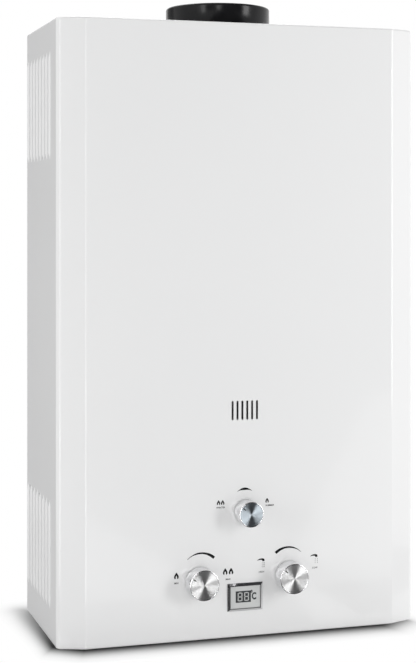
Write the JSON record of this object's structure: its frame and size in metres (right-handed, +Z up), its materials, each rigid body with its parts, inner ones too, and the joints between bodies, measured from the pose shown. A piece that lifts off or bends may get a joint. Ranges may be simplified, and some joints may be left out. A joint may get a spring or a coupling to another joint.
{
  "type": "gas water heater",
  "caption": "Wall-hung instantaneous gas water heater: white sheet-steel casing with side louvres, round black flue collar, chrome control knobs, small display, threaded pipe connections below.",
  "frame": {"origin": "on the floor plane, under the middle of the bounding box", "axes": "+Z up, +X right seen from the front, front panel faces -Y, wall side faces +Y"},
  "size_m": [0.3822, 0.183, 0.6445],
  "materials": {
    "casing_paint": "smooth white powder coat",
    "zinc_sheet": "galvanised sheet with a faint spangle",
    "screw_steel": "zinc-plated steel",
    "flue_enamel": "gloss black enamel",
    "copper": "plain copper",
    "stainless": "stainless sheet",
    "aluminium_casting": "die-cast, matt",
    "brass": "machined brass",
    "ceramic_white": "glazed ceramic sleeve with a steel wire",
    "rubber_black": "nitrile rubber",
    "spring_steel": "bright spring steel",
    "plastic_black": "moulded, matt",
    "plastic_grey": "moulded, light grey",
    "cell_jacket": "plain shrink jacket",
    "bezel_chrome": "bright plated frame",
    "screen_glass": "grey liquid-crystal window",
    "board_green": "circuit board",
    "knob_chrome": "mirror chrome with a spun face"
  },
  "bodies": {
    "heater": {"front_cover": "casing_paint", "top_panel": "zinc_sheet", "bottom_panel": "zinc_sheet", "back_plate": "zinc_sheet", "panel_screws": "screw_steel", "flue_hood": "zinc_sheet", "flue_collar": "flue_enamel", "combustion_chamber": "copper", "exchanger_casing": "copper", "exchanger_fins": "copper", "fin_tubes": "copper", "shell_coil": "copper", "inlet_pipe": "copper", "outlet_pipe": "copper", "burner_frame": "stainless", "burner_blades": "stainless", "gas_manifold": "aluminium_casting", "gas_nozzles": "brass", "chamber_brackets": "zinc_sheet", "electrode_bracket": "stainless", "ignition_electrode": "ceramic_white", "flame_sensor": "ceramic_white", "gas_valve_body": "aluminium_casting", "gas_valve_cap": "aluminium_casting", "gas_return_spring": "spring_steel", "spindle_nuts": "brass", "gas_riser": "aluminium_casting", "season_valve_body": "aluminium_casting", "solenoid_body": "stainless", "solenoid_spring": "spring_steel", "water_valve_body": "brass", "diaphragm_cover": "brass", "diaphragm": "rubber_black", "diaphragm_screws": "screw_steel", "microswitch": "plastic_black", "relief_valve": "brass", "cold_inlet_fitting": "brass", "hot_outlet_fitting": "brass", "gas_inlet_fitting": "brass", "igniter_box": "plastic_black", "battery_box": "plastic_grey", "battery_cells": "cell_jacket", "battery_contacts": "spring_steel", "display_bezel": "bezel_chrome", "display_screen": "screen_glass", "display_board": "board_green", "overheat_thermostat": "stainless"},
    "season_control": {"season_knob": "knob_chrome", "season_spindle": "brass"},
    "gas_control": {"gas_knob": "knob_chrome", "gas_spindle": "brass"},
    "water_control": {"water_knob": "knob_chrome", "water_spindle": "brass"},
    "linkage": {"push_rod": "spring_steel", "diaphragm_plate": "brass", "gas_valve_disc": "rubber_black"},
    "switch_arm": {"microswitch_lever": "spring_steel"},
    "gas_plunger": {"solenoid_plunger": "spring_steel"},
    "battery_hatch": {"battery_door": "plastic_grey"},
    "relief_handle": {"relief_lever": "plastic_black"}
  },
  "joints": [
    {"name": "season_knob_turn", "type": "hinge", "parent": "heater", "child": "season_control", "pos_m": [0.0026, -0.0735, 0.126], "axis": [0, 1, 0], "range_deg": [0, 90]},
    {"name": "gas_knob_turn", "type": "hinge", "parent": "heater", "child": "gas_control", "pos_m": [-0.0465, -0.0735, 0.0586], "axis": [0, 1, 0], "range_deg": [0, 120]},
    {"name": "water_knob_turn", "type": "hinge", "parent": "heater", "child": "water_control", "pos_m": [0.0485, -0.0735, 0.0586], "axis": [0, 1, 0], "range_deg": [0, 120]},
    {"name": "push_rod_slide", "type": "slide", "parent": "heater", "child": "linkage", "axis": [-1, 0, 0], "range_m": [0, 0.004], "stiffness_N_per_m": 600, "springref_m": -0.004, "deforming": ["gas_return_spring"]},
    {"name": "switch_lever_turn", "type": "hinge", "parent": "heater", "child": "switch_arm", "pos_m": [0.0033, -0.0235, 0.0685], "axis": [0, 1, 0], "range_deg": [0, 15]},
    {"name": "solenoid_lift", "type": "slide", "parent": "heater", "child": "gas_plunger", "axis": [0, 0, 1], "range_m": [0, 0.003], "stiffness_N_per_m": 300, "springref_m": -0.004, "deforming": ["solenoid_spring"]},
    {"name": "battery_door_swing", "type": "hinge", "parent": "heater", "child": "battery_hatch", "pos_m": [0.13175, -0.0161, 0.025], "axis": [1, 0, 0], "range_deg": [0, 90]},
    {"name": "relief_lever_turn", "type": "hinge", "parent": "heater", "child": "relief_handle", "pos_m": [0.078, -0.0305, 0.019], "axis": [0, -1, 0], "range_deg": [0, 90]}
  ],
  "couplings": [
    {"joint": "switch_lever_turn", "follows": "push_rod_slide", "rad_per_m": 65}
  ]
}
